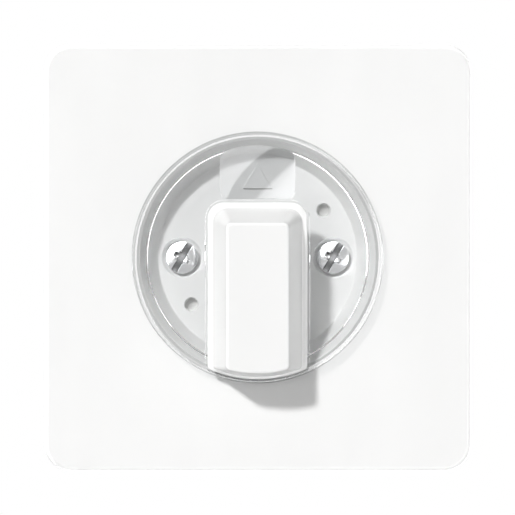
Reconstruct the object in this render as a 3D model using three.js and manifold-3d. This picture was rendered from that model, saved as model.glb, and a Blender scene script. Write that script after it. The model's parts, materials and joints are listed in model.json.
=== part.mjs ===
// Flush-mounted rotary wall switch with three positions, 60 degrees apart.
//
// Every piece is drawn in the switch's own axes, in millimetres: x to the right, y up and z out of
// the wall, with z = 0 on the wall's surface. The last group turns these axes so that the front
// faces -Y and +Z is up.

import Module from "manifold-3d";
import * as THREE from "three";
import { mergeVertices } from "three/addons/utils/BufferGeometryUtils.js";

const wasm = await Module();
wasm.setup();

// ---- Driving dimensions ---------------------------------------------------------------------

const GAP = 0.3; // between pieces that touch
const FIT = 0.15; // round a screw in its hole

const PLATE = 70; // square cover plate
const PLATE_CORNER = 4.5;
const PLATE_EDGE = 0.8; // rounded front edge
const PLATE_FRONT = 9.5; // z of the cover's face
const PLATE_WALL = 1.5;
const PLATE_SKIN = 2;

const SUPPORT_FRONT = 1.5; // steel support plate
const SUPPORT_BACK = 0.3;
const SUPPORT_SIZE = 69;

const WELL_TOP_R = 19.3; // round well in the cover
const WELL_FLOOR_R = 16.45;
const WELL_FLOOR = 4;
const FLOOR_THICK = 1.8;
const HUB_HOLE_R = 7;

const COVER_SCREW_X = 12.5; // two screws, 25 mm apart
const COVER_SCREW_ANGLE = 60; // of their slots, above the x axis
const COVER_SCREW_TOP = 4.7;
const COVER_SCREW_HEAD = 1.3; // thickness
const SCREW_HOLE_R = 1.65;
const COUNTERBORE_R = 3.3;
const COUNTERBORE_FOOT_R = 2.9;
const COUNTERBORE_DEPTH = 0.9;
const DIMPLE_R = 13.4; // two dimples, on a circle of this radius
const DIMPLE_ANGLE = 35.5; // of the upper dimple, above the x axis
const DIMPLE_SIZE = 1.2;
const DIMPLE_DEPTH = 1.2;
const POINTER_HALF_WIDTH = 1.9; // raised triangle under the lens
const POINTER_LOW_Y = 12;
const POINTER_TOP_Y = 15.2;
const POINTER_RISE = 0.3;

const DISC_R = 20.55; // clear disc
const DISC_BOTTOM = 10.3;
const DISC_TOP = 12.3;
const DISC_RIM = 1; // rounding of its front edge
const DISC_REAR_RIM = 0.5;
const STEP_R = 18.1; // thicker middle of the disc
const STEP_BOTTOM = 9.7;
const PAD_ANGLES = [90, 210, 330]; // pads outside the step
const PAD_HALF_ANGLE = 9;
const PAD_R = 19.15;
const PAD_RISE = 0.5;
const SEAT_DEPTH = 0.7; // recess for the handle's foot
const LENS_HALF_WIDTH = 6.15;
const LENS_BOTTOM_Y = 9.5;
const LENS_TOP_R = 18.2;
const LENS_TOP_CORNER = 1.9;
const LENS_LOW_CORNER = 1.3;
const LENS_RISE = 1.5;
const LENS_DOME_R = 18;

const HANDLE_TOP = 20; // bar handle
const HANDLE_BASE = DISC_TOP - SEAT_DEPTH + GAP;
const HANDLE_HALF_WIDTH = 8.15;
const HANDLE_TOP_Y = 9;
const HANDLE_BOTTOM_R = 19.8;
const HUB_R = 6;
const HUB_BOTTOM = 4.6;
const BORE_R = 3.15;
const PEG_R = 1.2; // two pegs that hold the disc
const PEG_X = 4;
const PEG_Y = -13;

const SPINDLE_R = 3;
const SPINDLE_TOP = 14.5;
const SPINDLE_FLAT = 2.2; // from the axis to the flat on the front end
const SPINDLE_SQUARE = 4.2; // inside the wheel and the drum
const SPINDLE_TAIL_R = 1.8;
const SPINDLE_TAIL_END = -22.3;
const SPINDLE_GROOVE = 0.6;
const CIRCLIP_Z = 3.7;
const CIRCLIP_THICK = 0.6;
const CIRCLIP_R = 4.4;

const INSERT_WIDTH = 41; // switch insert behind the support plate
const INSERT_HEIGHT = 44;
const INSERT_WALL = 2;
const INSERT_BACK = -25;
const INSERT_CORNER = 3;
const BEARING_TOP = 0;
const BEARING_BOTTOM = -3.3;
const BOSS_R = 5;
const GUIDE_WIDTH = 7.2; // block round each detent plunger
const GUIDE_HEIGHT = 8.6;
const GUIDE_Y = 15.1;
const GUIDE_BACK = -9.7;
const POST_WIDTH = 5.5; // corner posts for the housing screws
const POST_HEIGHT = 6;
const POCKET_R = 4.2; // round seat for the spindle's tail
const POCKET_RISE = 2.2;

const WHEEL_R = 9; // index wheel with six notches
const WHEEL_TOP = -4.5;
const WHEEL_THICK = 4;
const NOTCHES = 6;
const NOTCH_DEPTH = 1;

const CAM_R = 10; // heart cam
const CAM_FALL = 3.6; // from its highest to its lowest radius
const CAM_TOP = -10;
const CAM_THICK = 5;

const PLUNGER_R = 1.8; // detent plungers, above and below the wheel
const PLUNGER_TIP = WHEEL_R + GAP;
const PLUNGER_LENGTH = 4.4;
const DETENT_SPRING_END = 18.7;
const DETENT_SPRING_R = 1.35;
const DETENT_WIRE_R = 0.25;
const DETENT_Z = WHEEL_TOP - WHEEL_THICK / 2;

const PIVOT_X = 11; // contact arms
const PIVOT_Y = -15;
const ARM_TOP_Y = 10;
const ARM_THICK = 3.2;
const ARM_EYE_R = 2.4;
const ARM_BORE_R = 1.2;
const PIN_R = 1.05;
const PIN_HEAD_R = 1.8;
const CONTACT_Y = 8;
const CONTACT_Z = -12.5;
const CONTACT_R = 1.5;
const STRIP_X = 16.3; // fixed contacts' strips
const STRIP_THICK = 0.8;
const COMMON_BAR_LENGTH = 26;
const COMMON_BAR_HEIGHT = 4.6;
const COMMON_BAR_BACK = -16.6;

const TERMINAL_X = 9.5; // four terminals at the back
const TERMINAL_Y = 15;
const TERMINAL_FRONT = -17.2;
const TERMINAL_BACK = -22.6;
const TERMINAL_WIDTH = 8;
const TERMINAL_HEIGHT = 7;
const TERMINAL_HOLE_R = 2.4; // holes in the housing's back to the terminals' screws
const WIRE_Z = -19.4;
const WIRE_R = 1.5;
const WIRE_ENTRY_R = 1.9;

const HOUSING_SCREW_X = 16.5;
const HOUSING_SCREW_Y = 18;
const SCREW_BORE_R = 1.4; // clearance for the housing and terminal screws
const CLAW_SCREW_X = 24;
const CLAW_SCREW_R = 1.5;
const CLAW_PIVOT_X = 27.2;
const CLAW_LEG_Y = 4.2;
const CLAW_THICK = 1.2;
const CLAW_END = -20.8;
const CLAW_NUT_Z = -19;
const CLAW_RAMP_TOP = 3.62; // how far the claw's ramp leans in from its hinge
const BOX_SLOT = 30; // slots for the wall box's screws, from the centre
const BOX_SLOT_WIDTH = 4.6;
const BOX_SLOT_LENGTH = 12;
const SIDE_SLOT_LENGTH = 10;
const SIDE_SLOT_Y = 12;
const PAD_WIDTH = 6; // the support plate's feet on the wall
const PAD_CENTRE = 28;

// ---- Materials ------------------------------------------------------------------------------

const surface = (color, roughness, metalness) => () =>
  new THREE.MeshStandardMaterial({ color, roughness, metalness });

const whitePlastic = surface(0xf4f4f2, 0.35, 0);
const greyPlastic = surface(0xb9bcbe, 0.5, 0);
const darkPlastic = surface(0x3c3f42, 0.5, 0);
const camPlastic = surface(0xe8e2cf, 0.4, 0);
const zincSteel = surface(0xc9ccd0, 0.3, 1);
const springSteel = surface(0xa9adb2, 0.25, 1);
const brass = surface(0xc9a24e, 0.35, 1);
const silver = surface(0xe2e2e0, 0.25, 1);

function clearPlastic() {
  const material = new THREE.MeshStandardMaterial({ color: 0xe6eaec, roughness: 0.05 });
  material.transparent = true;
  material.opacity = 0.35;
  return material;
}

// ---- Solids ---------------------------------------------------------------------------------

/** A geometry as a manifold solid, with its shared corners merged and flat slivers dropped. */
function toSolid(geometry) {
  const bare = geometry.clone();
  bare.deleteAttribute("normal");
  bare.deleteAttribute("uv");
  const welded = mergeVertices(bare, 1e-4);
  const corners = welded.index.array;
  const kept = [];
  for (let i = 0; i < corners.length; i += 3) {
    const [a, b, c] = corners.slice(i, i + 3);
    if (a !== b && b !== c && c !== a) kept.push(a, b, c);
  }
  const mesh = new wasm.Mesh({
    numProp: 3,
    vertProperties: welded.attributes.position.array,
    triVerts: Uint32Array.from(kept),
  });
  return new wasm.Manifold(mesh);
}

function toGeometry(solid) {
  const mesh = solid.getMesh();
  const geometry = new THREE.BufferGeometry();
  geometry.setAttribute("position", new THREE.BufferAttribute(mesh.vertProperties, 3));
  geometry.setIndex(new THREE.BufferAttribute(mesh.triVerts, 1));
  return geometry;
}

const join = (base, ...others) =>
  toGeometry(others.reduce((solid, other) => solid.add(toSolid(other)), toSolid(base)));

const cut = (base, ...tools) =>
  toGeometry(tools.reduce((solid, tool) => solid.subtract(toSolid(tool)), toSolid(base)));

const common = (a, b) => toGeometry(toSolid(a).intersect(toSolid(b)));

/** An outline pulled along z from one height to another. */
function slab(outline, low, high, curveSegments = 2) {
  const depth = high - low;
  const geometry = new THREE.ExtrudeGeometry(outline, { depth, bevelEnabled: false, curveSegments });
  return geometry.translate(0, 0, low);
}

function block(width, height, depth, x = 0, y = 0, z = 0) {
  return new THREE.BoxGeometry(width, height, depth).translate(x, y, z);
}

/** A round bar along z. */
function bar(radius, low, high, x = 0, y = 0, sides = 16) {
  const geometry = new THREE.CylinderGeometry(radius, radius, high - low, sides);
  return geometry.rotateX(Math.PI / 2).translate(x, y, (low + high) / 2);
}

/** A round bar along y. */
function uprightBar(radius, low, high, x = 0, z = 0, sides = 16) {
  return new THREE.CylinderGeometry(radius, radius, high - low, sides).translate(x, (low + high) / 2, z);
}

/** A profile of [radius, z] points, anticlockwise, turned about z. */
function turned(profile, sides = 48) {
  const points = profile.map(([radius, z]) => new THREE.Vector2(radius, z));
  return new THREE.LatheGeometry(points, sides).rotateX(Math.PI / 2);
}

/** Points along a quarter or other arc of a profile, angles in degrees. */
function arcPoints(centreR, centreZ, radius, from, to, steps) {
  return Array.from({ length: steps + 1 }, (_, i) => {
    const angle = THREE.MathUtils.degToRad(from + ((to - from) * i) / steps);
    return [centreR + radius * Math.cos(angle), centreZ + radius * Math.sin(angle)];
  });
}

function roundedRectangle(width, height, corner, x = 0, y = 0) {
  const [left, right] = [x - width / 2, x + width / 2];
  const [bottom, top] = [y - height / 2, y + height / 2];
  const outline = new THREE.Shape();
  outline.moveTo(left + corner, bottom);
  outline.lineTo(right - corner, bottom);
  outline.absarc(right - corner, bottom + corner, corner, -Math.PI / 2, 0, false);
  outline.absarc(right - corner, top - corner, corner, 0, Math.PI / 2, false);
  outline.absarc(left + corner, top - corner, corner, Math.PI / 2, Math.PI, false);
  outline.absarc(left + corner, bottom + corner, corner, Math.PI, (3 * Math.PI) / 2, false);
  return outline;
}

const polygon = (points) => new THREE.Shape(points.map(([x, y]) => new THREE.Vector2(x, y)));

/** A closed solid through rings of points, all of one length, from the lowest ring to the highest. */
function loft(rings) {
  const count = rings[0].length;
  const positions = rings.flat().flatMap((point) => [point.x, point.y, point.z]);
  const triangles = [];
  for (let level = 0; level + 1 < rings.length; level += 1) {
    for (let i = 0; i < count; i += 1) {
      const a = level * count + i;
      const b = level * count + ((i + 1) % count);
      triangles.push(a, b, b + count, a, b + count, a + count);
    }
  }
  const flat = (ring) => ring.map((point) => new THREE.Vector2(point.x, point.y));
  const last = (rings.length - 1) * count;
  for (const [a, b, c] of THREE.ShapeUtils.triangulateShape(flat(rings[0]), [])) {
    triangles.push(a, c, b);
  }
  for (const [a, b, c] of THREE.ShapeUtils.triangulateShape(flat(rings.at(-1)), [])) {
    triangles.push(last + a, last + b, last + c);
  }
  const geometry = new THREE.BufferGeometry();
  geometry.setAttribute("position", new THREE.Float32BufferAttribute(positions, 3));
  geometry.setIndex(triangles);
  return geometry;
}

/** A coil of round wire about z. */
class Helix extends THREE.Curve {
  constructor(radius, low, high, turns) {
    super();
    Object.assign(this, { radius, low, high, turns });
  }

  getPoint(t) {
    const angle = 2 * Math.PI * this.turns * t;
    const z = this.low + (this.high - this.low) * t;
    return new THREE.Vector3(this.radius * Math.cos(angle), this.radius * Math.sin(angle), z);
  }
}

function coilSpring(radius, wire, low, high, turns) {
  const section = new THREE.Shape();
  section.absarc(0, 0, wire, 0, 2 * Math.PI, false);
  const path = new Helix(radius, low + wire, high - wire, turns);
  return new THREE.ExtrudeGeometry(section, {
    steps: turns * 12,
    extrudePath: path,
    curveSegments: 2,
    bevelEnabled: false,
  });
}

/** An indexed geometry reflected from one side of the switch to the other. */
function mirrored(geometry) {
  const copy = geometry.clone().scale(-1, 1, 1);
  const index = copy.index.array;
  for (let i = 0; i < index.length; i += 3) {
    [index[i], index[i + 1]] = [index[i + 1], index[i]];
  }
  return copy;
}

const atAngle = (radius, degrees) => [
  radius * Math.cos(THREE.MathUtils.degToRad(degrees)),
  radius * Math.sin(THREE.MathUtils.degToRad(degrees)),
];

const bothSides = [-1, 1];

// ---- Front pieces ---------------------------------------------------------------------------

/** The cover's outer shape, as rings that follow its rounded front edge. */
function coverShell() {
  const ring = (inset, z) => {
    const side = PLATE - 2 * inset;
    const points = roundedRectangle(side, side, PLATE_CORNER - inset).getPoints(3);
    return mergedRing(points).map((point) => new THREE.Vector3(point.x, point.y, z));
  };
  const steps = 3;
  const edge = Array.from({ length: steps + 1 }, (_, i) => {
    const angle = (Math.PI / 2) * (i / steps);
    const inset = PLATE_EDGE * (1 - Math.cos(angle));
    return ring(inset, PLATE_FRONT - PLATE_EDGE * (1 - Math.sin(angle)));
  });
  return loft([ring(0, SUPPORT_FRONT + GAP), ...edge]);
}

/** A ring without the point that repeats its first. */
function mergedRing(points) {
  return points.filter((point, i) => point.distanceTo(points[(i + 1) % points.length]) > 1e-6);
}

function coverPlate() {
  const inside = PLATE - 2 * PLATE_WALL;
  const hollow = slab(
    roundedRectangle(inside, inside, PLATE_CORNER - PLATE_WALL),
    0,
    PLATE_FRONT - PLATE_SKIN,
  );
  const dish = turned([
    [0, WELL_FLOOR - FLOOR_THICK],
    [WELL_FLOOR_R + PLATE_WALL, WELL_FLOOR - FLOOR_THICK],
    [WELL_TOP_R + PLATE_WALL, PLATE_FRONT - PLATE_EDGE],
    [0, PLATE_FRONT - PLATE_EDGE],
  ], 56);
  const shell = join(cut(coverShell(), hollow), dish);
  const well = turned([
    [0, WELL_FLOOR],
    [WELL_FLOOR_R, WELL_FLOOR],
    [WELL_TOP_R, PLATE_FRONT],
    [WELL_TOP_R, PLATE_FRONT + 1],
    [0, PLATE_FRONT + 1],
  ], 56);
  const above = WELL_FLOOR + 1;
  const holes = [bar(HUB_HOLE_R, 0, above, 0, 0, 28)];
  for (const side of bothSides) {
    holes.push(bar(SCREW_HOLE_R, 0, above, side * COVER_SCREW_X));
    const counterbore = turned([
      [0, WELL_FLOOR - COUNTERBORE_DEPTH],
      [COUNTERBORE_FOOT_R, WELL_FLOOR - COUNTERBORE_DEPTH],
      [COUNTERBORE_R, WELL_FLOOR],
      [COUNTERBORE_R, above],
      [0, above],
    ], 16);
    holes.push(counterbore.translate(side * COVER_SCREW_X, 0, 0));
    const [x, y] = atAngle(side * DIMPLE_R, DIMPLE_ANGLE);
    const dimple = turned([
      [0, WELL_FLOOR - DIMPLE_DEPTH],
      [DIMPLE_SIZE - 0.2, WELL_FLOOR - DIMPLE_DEPTH],
      [DIMPLE_SIZE, WELL_FLOOR],
      [DIMPLE_SIZE, above],
      [0, above],
    ], 14);
    holes.push(dimple.translate(x, y, 0));
  }
  const triangle = polygon([
    [-POINTER_HALF_WIDTH, POINTER_LOW_Y],
    [POINTER_HALF_WIDTH, POINTER_LOW_Y],
    [0, POINTER_TOP_Y],
  ]);
  const pointer = slab(triangle, WELL_FLOOR - POINTER_RISE, WELL_FLOOR + POINTER_RISE);
  return join(cut(shell, well, ...holes), pointer);
}

/** A cheese-head screw along z, its head's front at the given height, with a slot across it. */
function slottedScrew({ headR, headTop, headThick, shankR, tip, slot, angle = 0, dome = 0 }) {
  const headBottom = headTop - headThick;
  const profile = [
    [0, tip],
    [shankR * 0.6, tip],
    [shankR, tip + shankR * 0.4],
    [shankR, headBottom],
    [headR, headBottom],
    [headR, headTop - dome],
    [headR * 0.7, headTop - dome * 0.25],
    [0, headTop],
  ];
  const groove = block(headR * 3, slot, headThick, 0, 0, headTop);
  return cut(turned(profile, 16), groove.rotateZ(THREE.MathUtils.degToRad(angle)));
}

function coverScrew() {
  const screw = slottedScrew({
    headR: 2.65,
    headTop: COVER_SCREW_TOP,
    headThick: COVER_SCREW_HEAD,
    shankR: SCREW_HOLE_R - 0.2,
    tip: -2.5,
    slot: 0.85,
    angle: COVER_SCREW_ANGLE,
    dome: 0.24,
  });
  const cross = block(2.2, 0.6, COVER_SCREW_HEAD, 0, 0, COVER_SCREW_TOP);
  return cut(screw, cross.rotateZ(THREE.MathUtils.degToRad(COVER_SCREW_ANGLE - 90)));
}

/** The handle's outline at one level, seen from the front, anticlockwise from its lower left. */
function handleOutline({ halfWidth, topY, topCorner, bottomR, bottomCorner }, z, grow = 0) {
  const w = halfWidth + grow;
  const top = topY + grow;
  const round = topCorner + grow;
  const base = bottomR + grow;
  const small = bottomCorner + grow;
  const cornerX = w - small;
  const cornerY = -Math.sqrt((base - small) ** 2 - cornerX ** 2);
  const lean = Math.atan2(cornerY, cornerX);
  const outline = new THREE.Path();
  const leftEnd = Math.PI - lean;
  outline.absarc(0, 0, base, leftEnd - 2 * Math.PI, lean, false);
  outline.absarc(cornerX, cornerY, small, lean, 0, false);
  outline.absarc(w - round, top - round, round, 0, Math.PI / 2, false);
  outline.absarc(-w + round, top - round, round, Math.PI / 2, Math.PI, false);
  outline.absarc(-cornerX, cornerY, small, Math.PI, leftEnd, false);
  return mergedRing(outline.getPoints(4)).map((point) => new THREE.Vector3(point.x, point.y, z));
}

const handleFoot = {
  halfWidth: HANDLE_HALF_WIDTH,
  topY: HANDLE_TOP_Y,
  topCorner: 2.7,
  bottomR: HANDLE_BOTTOM_R,
  bottomCorner: 0.8,
};
const handleWaist = { halfWidth: 7.3, topY: 8.1, topCorner: 2.2, bottomR: 19.5, bottomCorner: 0.7 };
const handleBrow = { halfWidth: 5.1, topY: 5.65, topCorner: 0.6, bottomR: 18.6, bottomCorner: 0.5 };
const handleFace = { halfWidth: 4.85, topY: 5.4, topCorner: 0.4, bottomR: 18.4, bottomCorner: 0.35 };

function knobHandle() {
  const grip = loft([
    handleOutline(handleFoot, HANDLE_BASE),
    handleOutline(handleFoot, HANDLE_BASE + 0.9),
    handleOutline(handleWaist, HANDLE_BASE + 1.3),
    handleOutline(handleBrow, HANDLE_TOP - 0.3),
    handleOutline(handleFace, HANDLE_TOP),
  ]);
  const hub = bar(HUB_R, HUB_BOTTOM, HANDLE_BASE + 1, 0, 0, 28);
  const pegs = bothSides.map((side) =>
    bar(PEG_R, STEP_BOTTOM + 0.1, HANDLE_BASE + 1, side * PEG_X, PEG_Y, 12));
  const bore = bar(BORE_R, HUB_BOTTOM - 1, SPINDLE_TOP + GAP);
  const flat = block(2, 8, 14, SPINDLE_FLAT + FIT + 1, 0, HUB_BOTTOM + 6);
  const clipSeat = block(1.7, 3.4, 8, SPINDLE_FLAT + 0.7, 0, HUB_BOTTOM + 3);
  return cut(join(grip, hub, ...pegs), cut(bore, flat), clipSeat);
}

/** The bowed leaf spring that presses on the spindle's flat. */
function knobClip() {
  const inner = SPINDLE_FLAT + FIT;
  const thick = 0.3;
  const bow = 0.7;
  const low = HUB_BOTTOM + 0.4;
  const high = HUB_BOTTOM + 6.4;
  const middle = (low + high) / 2;
  const leaf = polygon([
    [inner + bow, low],
    [inner + bow + thick, low],
    [inner + thick, middle],
    [inner + bow + thick, high],
    [inner + bow, high],
    [inner, middle],
  ]);
  return slab(leaf, -1.4, 1.4).rotateX(Math.PI / 2);
}

function knobDisc() {
  const disc = turned([
    [HUB_R + GAP, STEP_BOTTOM],
    [STEP_R, STEP_BOTTOM],
    [STEP_R, DISC_BOTTOM],
    ...arcPoints(DISC_R - DISC_REAR_RIM, DISC_BOTTOM + DISC_REAR_RIM, DISC_REAR_RIM, -90, 0, 1),
    ...arcPoints(DISC_R - DISC_RIM, DISC_TOP - DISC_RIM, DISC_RIM, 0, 90, 3),
    [HUB_R + GAP, DISC_TOP],
    [HUB_R + GAP, STEP_BOTTOM],
  ], 56);
  const seat = loft([
    handleOutline(handleFoot, DISC_TOP - SEAT_DEPTH, GAP),
    handleOutline(handleFoot, DISC_TOP + 1, GAP),
  ]);
  const pegHoles = bothSides.map((side) =>
    bar(PEG_R + GAP, STEP_BOTTOM - 1, DISC_TOP, side * PEG_X, PEG_Y, 12));
  return join(cut(disc, seat, ...pegHoles), lens(), ...PAD_ANGLES.map(pad));
}

/** A low pad under the disc, outside its step. */
function pad(angle) {
  const outline = new THREE.Shape();
  const from = THREE.MathUtils.degToRad(angle - PAD_HALF_ANGLE);
  const to = THREE.MathUtils.degToRad(angle + PAD_HALF_ANGLE);
  outline.absarc(0, 0, PAD_R, from, to, false);
  outline.absarc(0, 0, STEP_R - GAP, to, from, true);
  return slab(outline, DISC_BOTTOM - PAD_RISE, DISC_BOTTOM + 0.2, 3);
}

/** The magnifying window: a dome cut to an outline that follows the disc's edge. */
function lens() {
  const high = LENS_TOP_CORNER;
  const low = LENS_LOW_CORNER;
  const lowX = LENS_HALF_WIDTH - low;
  const lowY = LENS_BOTTOM_Y + low;
  const shoulderX = LENS_HALF_WIDTH - high;
  const shoulderY = Math.sqrt((LENS_TOP_R - high) ** 2 - shoulderX ** 2);
  const lean = Math.atan2(shoulderY, shoulderX);
  const outline = new THREE.Shape();
  outline.absarc(-lowX, lowY, low, Math.PI, (3 * Math.PI) / 2, false);
  outline.absarc(lowX, lowY, low, -Math.PI / 2, 0, false);
  outline.absarc(shoulderX, shoulderY, high, 0, lean, false);
  outline.absarc(0, 0, LENS_TOP_R, lean, Math.PI - lean, false);
  outline.absarc(-shoulderX, shoulderY, high, Math.PI - lean, Math.PI, false);
  const centreY = (LENS_BOTTOM_Y + LENS_TOP_R) / 2;
  const dome = new THREE.SphereGeometry(LENS_DOME_R, 32, 40).rotateX(Math.PI / 2);
  dome.translate(0, centreY, DISC_TOP + LENS_RISE - LENS_DOME_R);
  return common(slab(outline, DISC_TOP - 0.5, DISC_TOP + LENS_RISE + 1, 3), dome);
}

// ---- Plates and casing ----------------------------------------------------------------------

const housingCorners = [[-1, 1], [1, 1], [-1, -1], [1, -1]];

function supportPlate() {
  const under = SUPPORT_BACK - 1;
  const over = SUPPORT_FRONT + 1;
  const sheet = slab(roundedRectangle(SUPPORT_SIZE, SUPPORT_SIZE, 6), SUPPORT_BACK, SUPPORT_FRONT);
  const feet = housingCorners.map(([sx, sy]) =>
    block(PAD_WIDTH, PAD_WIDTH, 0.8, sx * PAD_CENTRE, sy * PAD_CENTRE, 0.4));
  const slot = (width, height, x, y) =>
    slab(roundedRectangle(width, height, BOX_SLOT_WIDTH / 2 - 0.05, x, y), under, over);
  const holes = [bar(BOSS_R + GAP, under, over, 0, 0, 32)];
  for (const side of bothSides) {
    holes.push(bar(SCREW_HOLE_R - 0.05, under, over, side * COVER_SCREW_X));
    holes.push(bar(CLAW_SCREW_R + GAP, under, over, side * CLAW_SCREW_X));
    for (const leg of bothSides) {
      holes.push(block(2.4, CLAW_THICK + 1, 4, side * CLAW_PIVOT_X, leg * CLAW_LEG_Y, 1));
      holes.push(slot(BOX_SLOT_WIDTH, SIDE_SLOT_LENGTH, side * BOX_SLOT, leg * SIDE_SLOT_Y));
    }
    holes.push(slot(BOX_SLOT_LENGTH, BOX_SLOT_WIDTH, 0, side * BOX_SLOT));
  }
  for (const [sx, sy] of housingCorners) {
    holes.push(bar(SCREW_BORE_R, under, over, sx * HOUSING_SCREW_X, sy * HOUSING_SCREW_Y));
  }
  return cut(join(sheet, ...feet), ...holes);
}

function bearingPlate() {
  const plate = slab(
    roundedRectangle(INSERT_WIDTH, INSERT_HEIGHT, INSERT_CORNER),
    BEARING_BOTTOM,
    BEARING_TOP,
  );
  const boss = bar(BOSS_R, BEARING_TOP - 1, CIRCLIP_Z - GAP, 0, 0, 24);
  const guideTop = BEARING_BOTTOM + 0.6;
  const guides = bothSides.map((side) =>
    block(GUIDE_WIDTH, GUIDE_HEIGHT, guideTop - GUIDE_BACK, 0, side * GUIDE_Y, (guideTop + GUIDE_BACK) / 2));
  const holes = [bar(SPINDLE_R + 0.1, -12, 6, 0, 0, 28)];
  for (const side of bothSides) {
    holes.push(bar(1.9, -5, 2, side * COVER_SCREW_X));
    const bore = uprightBar(PLUNGER_R + FIT, WHEEL_R, DETENT_SPRING_END, 0, DETENT_Z);
    holes.push(side > 0 ? bore : bore.rotateZ(Math.PI));
  }
  for (const [sx, sy] of housingCorners) {
    holes.push(bar(SCREW_BORE_R, -5, 2, sx * HOUSING_SCREW_X, sy * HOUSING_SCREW_Y));
  }
  return cut(join(plate, boss, ...guides), ...holes);
}

function housingBase() {
  const top = BEARING_BOTTOM - GAP;
  const floor = INSERT_BACK + INSERT_WALL;
  const cup = cut(
    slab(roundedRectangle(INSERT_WIDTH, INSERT_HEIGHT, INSERT_CORNER), INSERT_BACK, top),
    slab(
      roundedRectangle(INSERT_WIDTH - 2 * INSERT_WALL, INSERT_HEIGHT - 2 * INSERT_WALL, 1),
      floor,
      top + 1,
    ),
  );
  const posts = housingCorners.map(([sx, sy]) => block(POST_WIDTH, POST_HEIGHT, top - floor + 1,
    sx * (HOUSING_SCREW_X + 0.25), sy * HOUSING_SCREW_Y, (top + floor - 1) / 2));
  const pocket = bar(POCKET_R, floor - 0.5, floor + POCKET_RISE, 0, 0, 24);
  const barRest = block(7, 4.5, 6.5, 0, -18, floor + 2.75);
  const holes = [bar(SPINDLE_TAIL_R + 0.1, floor + 0.2, 0)];
  for (const [sx, sy] of housingCorners) {
    const [x, y] = [sx * TERMINAL_X, sy * TERMINAL_Y];
    const wallY = sy * (INSERT_HEIGHT - INSERT_WALL) / 2;
    holes.push(bar(SCREW_BORE_R, -16, top + 1, sx * HOUSING_SCREW_X, sy * HOUSING_SCREW_Y));
    holes.push(bar(TERMINAL_HOLE_R, INSERT_BACK - 1, floor + 0.5, x, y));
    holes.push(uprightBar(WIRE_ENTRY_R, wallY - 2.5, wallY + 2.5, x, WIRE_Z));
  }
  return cut(join(cup, ...posts, pocket, barRest), ...holes);
}

// ---- Mechanism ------------------------------------------------------------------------------

function spindle() {
  const rear = WHEEL_TOP + 0.4;
  const frontRound = turned([
    [0, rear],
    [SPINDLE_R, rear],
    [SPINDLE_R, CIRCLIP_Z],
    [SPINDLE_R - SPINDLE_GROOVE, CIRCLIP_Z],
    [SPINDLE_R - SPINDLE_GROOVE, CIRCLIP_Z + CIRCLIP_THICK],
    [SPINDLE_R, CIRCLIP_Z + CIRCLIP_THICK],
    [SPINDLE_R, SPINDLE_TOP - SPINDLE_GROOVE],
    [SPINDLE_R - SPINDLE_GROOVE, SPINDLE_TOP],
    [0, SPINDLE_TOP],
  ], 28);
  const flat = block(4, 8, 12, SPINDLE_FLAT + 2, 0, HUB_BOTTOM + 6);
  const squareEnd = CAM_TOP - CAM_THICK - 0.6;
  const square = block(SPINDLE_SQUARE, SPINDLE_SQUARE, rear - squareEnd + 1,
    0, 0, (rear + squareEnd + 1) / 2);
  const tail = bar(SPINDLE_TAIL_R, SPINDLE_TAIL_END, squareEnd + 1);
  return join(cut(frontRound, flat), square, tail);
}

function circlip() {
  const ring = new THREE.Shape();
  const open = THREE.MathUtils.degToRad(35);
  ring.absarc(0, 0, CIRCLIP_R, open, 2 * Math.PI - open, false);
  ring.absarc(0, 0, SPINDLE_R - SPINDLE_GROOVE + FIT, 2 * Math.PI - open, open, true);
  return slab(ring, CIRCLIP_Z + FIT, CIRCLIP_Z + CIRCLIP_THICK - FIT, 10);
}

/** A flat wheel with a square hole, its radius given by the angle. */
function wheel(radiusAt, top, thick) {
  const steps = 60;
  const points = Array.from({ length: steps }, (_, i) => {
    const angle = (2 * Math.PI * i) / steps;
    return [radiusAt(angle) * Math.cos(angle), radiusAt(angle) * Math.sin(angle)];
  });
  const outline = polygon(points);
  const side = SPINDLE_SQUARE + 0.2;
  outline.holes.push(roundedRectangle(side, side, 0.05));
  return slab(outline, top - thick, top, 1);
}

/** The index wheel: a V-shaped notch at each sixth of a turn. */
function indexWheel() {
  const radiusAt = (angle) => {
    const phase = (angle * NOTCHES) / (2 * Math.PI) + 0.5;
    const off = Math.abs(phase - Math.round(phase)) * 2;
    return WHEEL_R - NOTCH_DEPTH * Math.max(0, 1 - off * 2.2);
  };
  return wheel(radiusAt, WHEEL_TOP, WHEEL_THICK);
}

/** The heart cam: its radius falls evenly from the top round each side to the bottom. */
function camDrum() {
  const fromTop = (angle) => Math.abs(Math.atan2(Math.cos(angle), Math.sin(angle)));
  return wheel((angle) => CAM_R - (CAM_FALL * fromTop(angle)) / Math.PI, CAM_TOP, CAM_THICK);
}

/** The upper detent plunger, with a round nose towards the wheel. */
function detentPlunger() {
  const profile = [
    [0, 0],
    [0.9, 0.25],
    [1.5, 0.8],
    [PLUNGER_R, 1.5],
    [PLUNGER_R, PLUNGER_LENGTH],
    [0, PLUNGER_LENGTH],
  ];
  return turned(profile, 20).rotateX(-Math.PI / 2).translate(0, PLUNGER_TIP, DETENT_Z);
}

function detentSpring() {
  const low = PLUNGER_TIP + PLUNGER_LENGTH + GAP;
  const coil = coilSpring(DETENT_SPRING_R, DETENT_WIRE_R, low, DETENT_SPRING_END - 0.1, 4);
  return coil.rotateX(-Math.PI / 2).translate(0, 0, DETENT_Z);
}

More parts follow.
